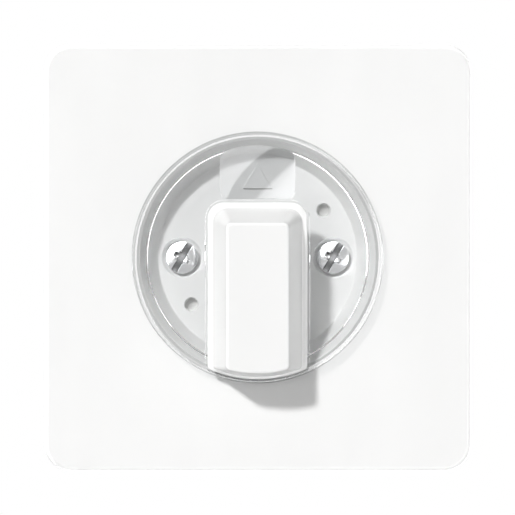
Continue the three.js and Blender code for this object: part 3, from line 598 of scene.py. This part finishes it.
def threaded_shank(radius, tip, top, pitch, sides=28, samples=8):
    """A screw's shank along z with a rolled thread and a blunt tip."""
    depth = 0.12 * radius + 0.08
    count = max(2, round((top - tip) / pitch * samples))
    rings = []
    for level in range(count + 1):
        z = tip + (top - tip) * level / count
        taper = min(1.0, 0.55 + (z - tip) / radius)
        ring = []
        for i in range(sides):
            turn_part = i / sides
            phase = (z / pitch - turn_part) % 1
            crest = 1 - abs(2 * phase - 1)
            r = (radius - depth * (1 - min(1, crest * 1.25))) * taper
            ring.append((r * math.cos(2 * math.pi * turn_part), r * math.sin(2 * math.pi * turn_part), z))
        rings.append(ring)
    return loft(rings)


def screw_head(radius, bottom, top, dome, slot, depth, angle, cross=False):
    """A cheese head with a domed face, cut by a slot and, on a combination head, a short cross."""
    edge = 0.14
    face_steps = 10
    face = []
    for i in range(face_steps + 1):
        share = 1 - i / face_steps
        r = (radius - edge) * share
        face.append((r, top - dome * share * share))
    rim_top = face[0][1]
    profile = [(0, bottom), (radius - edge, bottom), (radius, bottom + edge),
               *[(radius - edge + edge * math.cos(a), rim_top - edge + edge * math.sin(a))
                 for a in (0, math.pi / 6, math.pi / 3)], *face]
    head = lathe(profile, 96)
    groove = brick((-radius * 2, -slot / 2, top - depth), (radius * 2, slot / 2, top + 1))
    tools = [turn(groove, angle)]
    if cross:
        short = brick((-1.35, -0.42, top - depth * 0.9), (1.35, 0.42, top + 1))
        tools.append(turn(short, angle - 90))
        for notch_angle in (angle + 45, angle - 45):
            notch = brick((-1.05, -0.14, top - depth * 0.55), (1.05, 0.14, top + 1))
            tools.append(turn(notch, notch_angle))
    cut(head, *tools)
    return bevel(head, 0.05, 2, 40)


def screw_piece(head, shank, node, body, slot_name, *placing):
    """One screw from its head and its shank, standing in for a CAD screw."""
    piece(turn(merge(head, shank), *placing), f"{node}_detail", body, slot_name, [node], 35)


def make_screws():
    for side, sign in SIDES.items():
        top = HEAD_HIGH.z
        head = screw_head(HEAD_HIGH.x - SCREW_X, top - COVER_HEAD, top,
                          dome=0.24, slot=1.1, depth=0.95, angle=60, cross=True)
        shank = threaded_shank(1.45, HEAD_LOW.z, top - COVER_HEAD + OVERLAP, pitch=0.5)
        screw_piece(head, shank, f"cover_screw_{side}", "insert", "bright_steel",
                    0, "Z", (sign * SCREW_X, 0, 0))
        node = f"claw_screw_{side}"
        low, high = own_box(node)
        head = screw_head((high.x - low.x) / 2, high.z - CLAW_HEAD, high.z,
                          dome=0.4, slot=0.8, depth=0.95, angle=75)
        shank = threaded_shank(1.5, low.z, high.z - CLAW_HEAD + OVERLAP, pitch=0.7)
        screw_piece(head, shank, node, node, "zinc_steel", 0, "Z", ((low.x + high.x) / 2, 0, 0))
    for number in range(1, 5):
        node = f"housing_screw_{number}"
        low, high = own_box(node)
        head = screw_head((high.x - low.x) / 2, high.z - HOUSING_HEAD, high.z,
                          dome=0.4, slot=0.6, depth=0.9, angle=20)
        shank = threaded_shank(1.2, low.z, high.z - HOUSING_HEAD + OVERLAP, 0.5, sides=20, samples=6)
        screw_piece(head, shank, node, "insert", "zinc_steel", 0, "Z", (*node_centre(node), 0))
        node = f"terminal_screw_{number}"
        low, high = own_box(node)
        head = screw_head((high.x - low.x) / 2, TERMINAL_HEAD_BOTTOM, TERMINAL_HEAD_TOP,
                          dome=0.2, slot=0.6, depth=0.8, angle=35)
        shank = threaded_shank(1.2, -1.6, TERMINAL_HEAD_BOTTOM + OVERLAP, 0.45, sides=20, samples=6)
        screw_piece(head, shank, node, "insert", "zinc_steel",
                    180, "X", (*node_centre(node), low.z + TERMINAL_HEAD_TOP))


# ---- Knob -----------------------------------------------------------------------------------

FOOT = {"half": HANDLE_HIGH.x, "top": HANDLE_HIGH.y, "corner": 2.7, "bottom": 19.8, "small": 0.8}
WAIST = {"half": 7.3, "top": 8.1, "corner": 2.2, "bottom": 19.45, "small": 0.65}
BROW = {"half": 5.1, "top": 5.65, "corner": 1.0, "bottom": 18.6, "small": 0.8}


def between(a, b, share):
    return {key: a[key] + (b[key] - a[key]) * share for key in a}


def grown(shape, distance):
    return {key: value + distance for key, value in shape.items()}


def handle_outline(shape, z):
    """The handle's outline at one level, anticlockwise from its lower left."""
    half, top, corner = shape["half"], shape["top"], shape["corner"]
    bottom, small = shape["bottom"], shape["small"]
    corner_x = half - small
    corner_y = -math.sqrt((bottom - small) ** 2 - corner_x ** 2)
    lean = math.degrees(math.atan2(corner_y, corner_x))
    points = arc((0, 0), bottom, -180 - lean, lean, 28)
    points += arc((corner_x, corner_y), small, lean, 0, 8)
    points += arc((half - corner, top - corner), corner, 0, 90, 12)
    points += arc((corner - half, top - corner), corner, 90, 180, 12)
    points += arc((-corner_x, corner_y), small, 180, 180 - lean, 8)[:-1]
    distinct = [p for p, q in zip(points, points[1:] + points[:1]) if math.dist(p, q) > 1e-7]
    return [(x, y, z) for x, y in distinct]


def make_handle():
    foot_round = 0.5
    foot_top = DISC_TOP + 0.75
    waist_z = foot_top + 0.28
    rings = [handle_outline(grown(FOOT, -0.1), HANDLE_BASE), handle_outline(FOOT, HANDLE_BASE + 0.1)]
    for i in range(6):
        a = math.pi / 2 * i / 5
        inset = -foot_round * (1 - math.cos(a))
        rings.append(handle_outline(grown(FOOT, inset), foot_top - foot_round * (1 - math.sin(a))))
    flank_start = 0.07
    for i in range(1, 6):
        share = i / 5
        ease = 1 - (1 - share) ** 2
        rings.append(handle_outline(
            between(grown(FOOT, -foot_round), between(WAIST, BROW, flank_start), ease),
            foot_top + (waist_z + 0.3 - foot_top) * share * share,
        ))
    flank_end_z = HANDLE_TOP - 0.6
    for i in range(1, 7):
        share = flank_start + (1 - flank_start) * i / 6
        z = waist_z + 0.3 + (flank_end_z - waist_z - 0.3) * i / 6
        rings.append(handle_outline(between(WAIST, BROW, share), z))
    brow_round = 0.5
    for i in range(1, 7):
        a = math.pi / 2 * i / 6
        rings.append(handle_outline(
            grown(BROW, -brow_round * (1 - math.cos(a))),
            flank_end_z + (HANDLE_TOP - flank_end_z) * math.sin(a),
        ))
    grip = loft(rings)
    hub = lathe([(0, HUB_BOTTOM), (HUB_R - 0.3, HUB_BOTTOM), (HUB_R, HUB_BOTTOM + 0.3),
                 (HUB_R, HANDLE_BASE + 1), (0, HANDLE_BASE + 1)], 96)
    pegs = [cylinder(PEG_R, STEP_BOTTOM + 0.1, HANDLE_BASE + 1, place, 32) for place in PEG_PLACES]
    join(grip, hub, *pegs)
    bore = cylinder(SPINDLE_BORE_R, HUB_BOTTOM - 1, SPINDLE_BORE_TOP, sides=64)
    cut(bore, brick((SPINDLE_FLAT, -4, 3), (SPINDLE_FLAT + 2, 4, 16)))
    clip_slot = brick((2.05, -1.7, 3.6), (3.75, 1.7, 11.6))
    cut(grip, bore, clip_slot)
    piece(grip, "handle", "knob", "white_plastic", ["knob_handle"], 32)


def lens_solid():
    """The magnifying window: a dome cut to an outline that follows the disc's edge."""
    corner = 1.9
    shoulder_x = LENS_HALF_WIDTH - corner
    shoulder_y = math.sqrt((LENS_TOP_R - corner) ** 2 - shoulder_x ** 2)
    lean = math.degrees(math.atan2(shoulder_y, shoulder_x))
    low_corner = 1.3
    low_x, low_y = LENS_HALF_WIDTH - low_corner, LENS_BOTTOM_Y + low_corner
    outline = arc((-low_x, low_y), low_corner, 180, 270, 10) + arc((low_x, low_y), low_corner, -90, 0, 10)
    outline += arc((shoulder_x, shoulder_y), corner, 0, lean, 12)[:-1]
    outline += arc((0, 0), LENS_TOP_R, lean, 180 - lean, 24)
    outline += arc((-shoulder_x, shoulder_y), corner, 180 - lean, 180, 12)[1:]
    reach = 35
    cap = [(LENS_DOME_R * math.sin(math.radians(a)),
            LENS_TOP - LENS_DOME_R * (1 - math.cos(math.radians(a))))
           for a in (reach * (1 - i / 36) for i in range(37))]
    low = DISC_TOP - 0.6
    dome = lathe([(0, cap[0][1] - 1), (cap[0][0], cap[0][1] - 1), *cap], 128,
                 (0, (LENS_BOTTOM_Y + LENS_TOP_R) / 2))
    solid = combine(prism(outline, low, LENS_TOP + 1), [dome], "INTERSECT")
    return bevel(solid, 0.22, 3, 45)


def make_disc():
    rim = 1.0
    low_round = 0.45
    profile = [
        (HUB_R + 0.3, STEP_BOTTOM),
        (STEP_R - GROOVE_WIDTH, STEP_BOTTOM),
        (STEP_R - GROOVE_WIDTH, STEP_BOTTOM + GROOVE_DEPTH),
        (STEP_R - 0.04, STEP_BOTTOM),
        (STEP_R, STEP_BOTTOM + 0.04),
        (STEP_R, DISC_BOTTOM - 0.08),
        (STEP_R + 0.08, DISC_BOTTOM),
        *arc((DISC_R - low_round, DISC_BOTTOM + low_round), low_round, -90, 0, 6),
        *arc((DISC_R - rim, DISC_TOP - rim), rim, 0, 90, 12),
        (HUB_R + 0.3, DISC_TOP),
    ]
    disc = lathe(profile, 256)
    chamfer = 0.1
    seat = loft([
        handle_outline(grown(FOOT, SEAT_GAP), SEAT_FLOOR),
        handle_outline(grown(FOOT, SEAT_GAP), DISC_TOP - chamfer),
        handle_outline(grown(FOOT, SEAT_GAP + chamfer), DISC_TOP),
        handle_outline(grown(FOOT, SEAT_GAP + chamfer), DISC_TOP + 1),
    ])
    peg_holes = [cylinder(PEG_HOLE_R, DISC_BOTTOM - 1, DISC_TOP, place, 32) for place in PEG_PLACES]
    cut(disc, seat, *peg_holes)
    pads = []
    for angle in (90, 210, 330):
        outer = arc((0, 0), PAD_R, angle - PAD_HALF_ANGLE, angle + PAD_HALF_ANGLE, 12)
        inner = arc((0, 0), STEP_R - 0.3, angle + PAD_HALF_ANGLE, angle - PAD_HALF_ANGLE, 12)
        pads.append(prism(outer + inner, DISC_BOTTOM - 0.5, DISC_BOTTOM + 0.2))
    join(disc, lens_solid(), *pads)
    piece(disc, "clear_disc", "knob", "clear_plastic", ["knob_disc"], 30)


# ---- Plates and casing ----------------------------------------------------------------------

CORNERS = [(-1, 1), (1, 1), (-1, -1), (1, -1)]
CLAW_SCREW_X = 24
CLAW_LEG_X = 27.2
SLOT_WIDTH = 4.6
SLOT_CORNER = 2.28
SLOT_FROM_CENTRE = 30
FIXING_HOLE_R = 1.4  # for the housing screws


def make_support():
    front, back = SUPPORT_HIGH.z, SUPPORT_LOW.z + 0.3
    size = 2 * SUPPORT_HIGH.x
    sheet = prism(rounded_rectangle(size, size, 6), back, front)
    pads = [brick((sx * 28 - 3, sy * 28 - 3, SUPPORT_LOW.z), (sx * 28 + 3, sy * 28 + 3, back + 0.5))
            for sx, sy in CORNERS]
    join(sheet, *pads)
    spindle_hole = cylinder(5.3, -1, 3, sides=64)
    tools = [spindle_hole]
    for sign in (-1, 1):
        tools.append(cylinder(1.6, -1, 3, (sign * SCREW_X, 0)))
        tools.append(cylinder(1.8, -1, 3, (sign * CLAW_SCREW_X, 0)))
        for leg in (-1, 1):
            x, y = sign * CLAW_LEG_X, leg * 4.2
            tools.append(brick((x - 1.2, y - 1.1, -1), (x + 1.2, y + 1.1, 3)))
            side_slot = rounded_rectangle(SLOT_WIDTH, 10, SLOT_CORNER, (sign * SLOT_FROM_CENTRE, leg * 12))
            tools.append(prism(side_slot, -1, 3))
        end_slot = rounded_rectangle(12, SLOT_WIDTH, SLOT_CORNER, (0, sign * SLOT_FROM_CENTRE))
        tools.append(prism(end_slot, -1, 3))
    tools += [cylinder(FIXING_HOLE_R, -1, 3, node_centre(f"housing_screw_{n}")) for n in range(1, 5)]
    cut(sheet, *tools)
    bevel(sheet, 0.14, 3, 40)
    piece(sheet, "support_sheet", "insert", "zinc_steel", ["support_plate"], 35)


def make_bearing():
    width, height = BEARING_HIGH.x - BEARING_LOW.x, BEARING_HIGH.y - BEARING_LOW.y
    top, bottom = 0.0, -3.3
    plate = prism(rounded_rectangle(width, height, 3), bottom, top)
    bevel(plate, 0.3, 3, 40)
    boss = lathe([(0, top - 1), (5, top - 1), (5, BEARING_HIGH.z - 0.3), (4.7, BEARING_HIGH.z),
                  (0, BEARING_HIGH.z)], 64)
    guides = [brick((-3.6, min(side * 10.8, side * 19.4), BEARING_LOW.z),
                    (3.6, max(side * 10.8, side * 19.4), bottom + 0.6)) for side in (-1, 1)]
    join(plate, boss, *guides)
    tools = [cylinder(3.1, -12, 6, sides=64)]
    for side in (-1, 1):
        tools.append(cylinder(1.9, -5, 2, (side * SCREW_X, 0)))
        bore = cylinder(1.95, 9, 18.7, sides=40)
        tools.append(turn(bore, -90 * side, "X", (0, 0, -6.5)))
    tools += [cylinder(FIXING_HOLE_R, -5, 2, node_centre(f"housing_screw_{n}")) for n in range(1, 5)]
    cut(plate, *tools)
    piece(plate, "bearing_block", "insert", "grey_plastic", ["bearing_plate"], 35)


def make_housing():
    width, height = HOUSING_HIGH.x - HOUSING_LOW.x, HOUSING_HIGH.y - HOUSING_LOW.y
    top, back = HOUSING_HIGH.z, HOUSING_LOW.z
    wall = 2.0
    floor = back + wall
    round_back = 0.8
    rings = [
        [(x, y, back + round_back * (1 - math.cos(a)))
         for x, y in rounded_rectangle(width - 2 * round_back * (1 - math.sin(a)),
                                       height - 2 * round_back * (1 - math.sin(a)),
                                       3 - round_back * (1 - math.sin(a)))]
        for a in (math.pi / 2 * i / 6 for i in range(7))
    ]
    rings.append([(x, y, top) for x, y in rounded_rectangle(width, height, 3)])
    cup = loft(rings)
    cut(cup, prism(rounded_rectangle(width - 2 * wall, height - 2 * wall, 1), floor, top + 1))
    posts = [brick((min(sx * 14, sx * 19.5), min(sy * 15, sy * 21), floor - 0.5),
                   (max(sx * 14, sx * 19.5), max(sy * 15, sy * 21), top)) for sx, sy in CORNERS]
    pocket = cylinder(4.2, floor - 0.5, floor + 2.2, sides=64)
    rest = brick((-3.5, -20.25, floor - 0.5), (3.5, -15.75, -17))
    join(cup, *posts, pocket, rest)
    tools = [cylinder(1.9, floor + 0.2, 0)]
    for number in range(1, 5):
        x, y = node_centre(f"terminal_screw_{number}")
        tools.append(cylinder(FIXING_HOLE_R, -16, top + 1, node_centre(f"housing_screw_{number}")))
        funnel = lathe([(0, back - 1), (3.0, back - 1), (2.95, back), (2.4, back + 0.5), (2.4, floor + 0.5),
                        (0, floor + 0.5)], 64, (x, y))
        tools.append(funnel)
        side = 1 if y > 0 else -1
        entry = lathe([(0, -2.5), (1.9, -2.5), (1.9, 0.45), (2.35, 1.0), (2.4, 2.5), (0, 2.5)], 48)
        tools.append(turn(entry, -90 * side, "X", (x, side * 21, -19.4)))
    for line in range(7):
        x = -9 + line * 3
        groove = prism(rounded_rectangle(1.0, 12, 0.49, (x, 0), 6), back - 1, back + 0.3)
        tools.append(groove)
    cut(cup, *tools)
    piece(cup, "housing_shell", "insert", "grey_plastic", ["housing_base"], 35)


# ---- CAD nodes that stay --------------------------------------------------------------------

def finish_cad_nodes():
    """Bevels and materials for the nodes that no piece replaces."""
    slots = {part["node"]: part["material_slot"] for part in frame["record"]["subparts"]}
    for name, node in frame["nodes"].items():
        if node.hide_render:
            continue
        node.data.materials.clear()
        node.data.materials.append(MATERIALS[slots[name]])
        modifier = node.modifiers.new("bevel", "BEVEL")
        modifier.width = 0.00008
        modifier.segments = 2
        modifier.limit_method = "ANGLE"
        modifier.angle_limit = math.radians(40)
        shade_cad(node)


def shade_cad(node):
    for polygon in node.data.polygons:
        polygon.use_smooth = True
    node.data.set_sharp_from_angle(angle=math.radians(40))


# ---- Studio ---------------------------------------------------------------------------------

KEY = 2.4
KEY_FROM = Vector((-0.368, -0.788, 0.495))
FILL = 0.5
FILL_FROM = Vector((-0.2, -1, 0.25))
AMBIENT = 0.25
MIRRORED = 6.5  # strength of the surroundings that shiny surfaces show
BAND_AXIS = (-0.60, 0.53, 0.60)  # the light band is a ring of directions round this axis
BAND = [(0.0, 0.6), (0.06, 0.5), (0.085, 0.02), (0.325, 0.03), (0.345, 1.0), (0.6, 0.95), (0.68, 0.08),
        (0.74, 0.08), (0.8, 0.4), (1.0, 0.4)]  # (place along the axis, brightness)
CARD_FROM = (0.707, 0, -0.707)  # a light card at the lower right
FLOOR_Z = -0.2
FLOOR_R = 1.2
FRAME_WIDTH = 0.08435  # metres across the picture, at the cover's face


def make_floor():
    mesh = bmesh.new()
    bmesh.ops.create_circle(mesh, cap_ends=True, segments=128, radius=FLOOR_R)
    floor = as_object(mesh, "studio_floor")
    floor.location = (0, 0, FLOOR_Z)
    floor.visible_glossy = False  # keeps its edge out of the lens window
    n = Nodes("studio_floor")
    n.feed(Base_Color=n.ramp(n.noise(3, 2), grey(0.7), grey(0.73)))
    n.set(Roughness=0.9)
    floor.data.materials.append(n.material)


def make_world():
    """White to the camera, even light on the object, and a light band and a card in reflections."""
    world = bpy.data.worlds.new("studio")
    bpy.context.scene.world = world
    world.use_nodes = True
    tree = world.node_tree
    tree.nodes.clear()

    def add(kind, **settings):
        node = tree.nodes.new(kind)
        for key, value in settings.items():
            setattr(node, key, value)
        return node

    def background(strength):
        node = add("ShaderNodeBackground")
        node.inputs["Color"].default_value = grey(1)
        node.inputs["Strength"].default_value = strength
        return node

    def along(axis):
        node = add("ShaderNodeVectorMath", operation="DOT_PRODUCT")
        node.inputs[1].default_value = axis
        tree.links.new(place.outputs["Generated"], node.inputs[0])
        return node.outputs["Value"]

    def switch(ray, otherwise, then):
        node = add("ShaderNodeMixShader")
        tree.links.new(rays.outputs[ray], node.inputs["Fac"])
        tree.links.new(otherwise.outputs[0], node.inputs[1])
        tree.links.new(then.outputs[0], node.inputs[2])
        return node

    place = add("ShaderNodeTexCoord")
    shift = add("ShaderNodeMath", operation="MULTIPLY_ADD")
    shift.inputs[1].default_value = 0.5
    shift.inputs[2].default_value = 0.5
    tree.links.new(along(BAND_AXIS), shift.inputs[0])
    ramp = add("ShaderNodeValToRGB")
    tree.links.new(shift.outputs["Value"], ramp.inputs["Fac"])
    points = ramp.color_ramp.elements
    points[0].position, points[1].position = BAND[0][0], BAND[-1][0]
    for position, _ in BAND[1:-1]:
        points.new(position)
    for point, (_, value) in zip(points, BAND):
        point.color = grey(value)
    card = add("ShaderNodeMapRange")
    card.inputs["From Min"].default_value = 0.26
    card.inputs["From Max"].default_value = 0.33
    tree.links.new(along(CARD_FROM), card.inputs["Value"])
    both = add("ShaderNodeMix", data_type="RGBA", blend_type="LIGHTEN")
    both.inputs["Factor"].default_value = 1.0
    tree.links.new(ramp.outputs["Color"], both.inputs["A"])
    tree.links.new(card.outputs["Result"], both.inputs["B"])
    mirrored = background(MIRRORED)
    tree.links.new(both.outputs["Result"], mirrored.inputs["Color"])

    rays = add("ShaderNodeLightPath")
    unseen = switch("Is Glossy Ray", background(AMBIENT), mirrored)
    output = add("ShaderNodeOutputWorld")
    tree.links.new(switch("Is Camera Ray", unseen, background(1.0)).outputs[0], output.inputs["Surface"])


def make_lamp(name, strength, spread, from_direction):
    sun = bpy.data.lights.new(name, "SUN")
    sun.energy = strength
    sun.angle = math.radians(spread)
    lamp = bpy.data.objects.new(name, sun)
    lamp.rotation_euler = from_direction.to_track_quat("Z", "Y").to_euler()
    bpy.context.scene.collection.objects.link(lamp)
    return lamp


def make_lights():
    key = make_lamp("key", KEY, 5, KEY_FROM)
    key.data.cycles.use_multiple_importance_sampling = False
    fill = make_lamp("fill", FILL, 75, FILL_FROM)
    fill.visible_glossy = False


def make_camera():
    camera = bpy.data.cameras.new("camera")
    camera.lens = 200
    camera.sensor_width = 36
    distance = FRAME_WIDTH * camera.lens / camera.sensor_width
    obj = bpy.data.objects.new("camera", camera)
    obj.location = (0, -(PLATE_FRONT / 1000 + distance), 0)
    obj.rotation_euler = (math.pi / 2, 0, 0)
    camera.clip_start = 0.01
    camera.clip_end = 20
    bpy.context.scene.collection.objects.link(obj)
    bpy.context.scene.camera = obj


make_cover()
make_screws()
make_handle()
make_disc()
make_support()
make_bearing()
make_housing()
finish_cad_nodes()
make_floor()
make_world()
make_lights()
make_camera()
bpy.context.scene.view_settings.view_transform = "Standard"
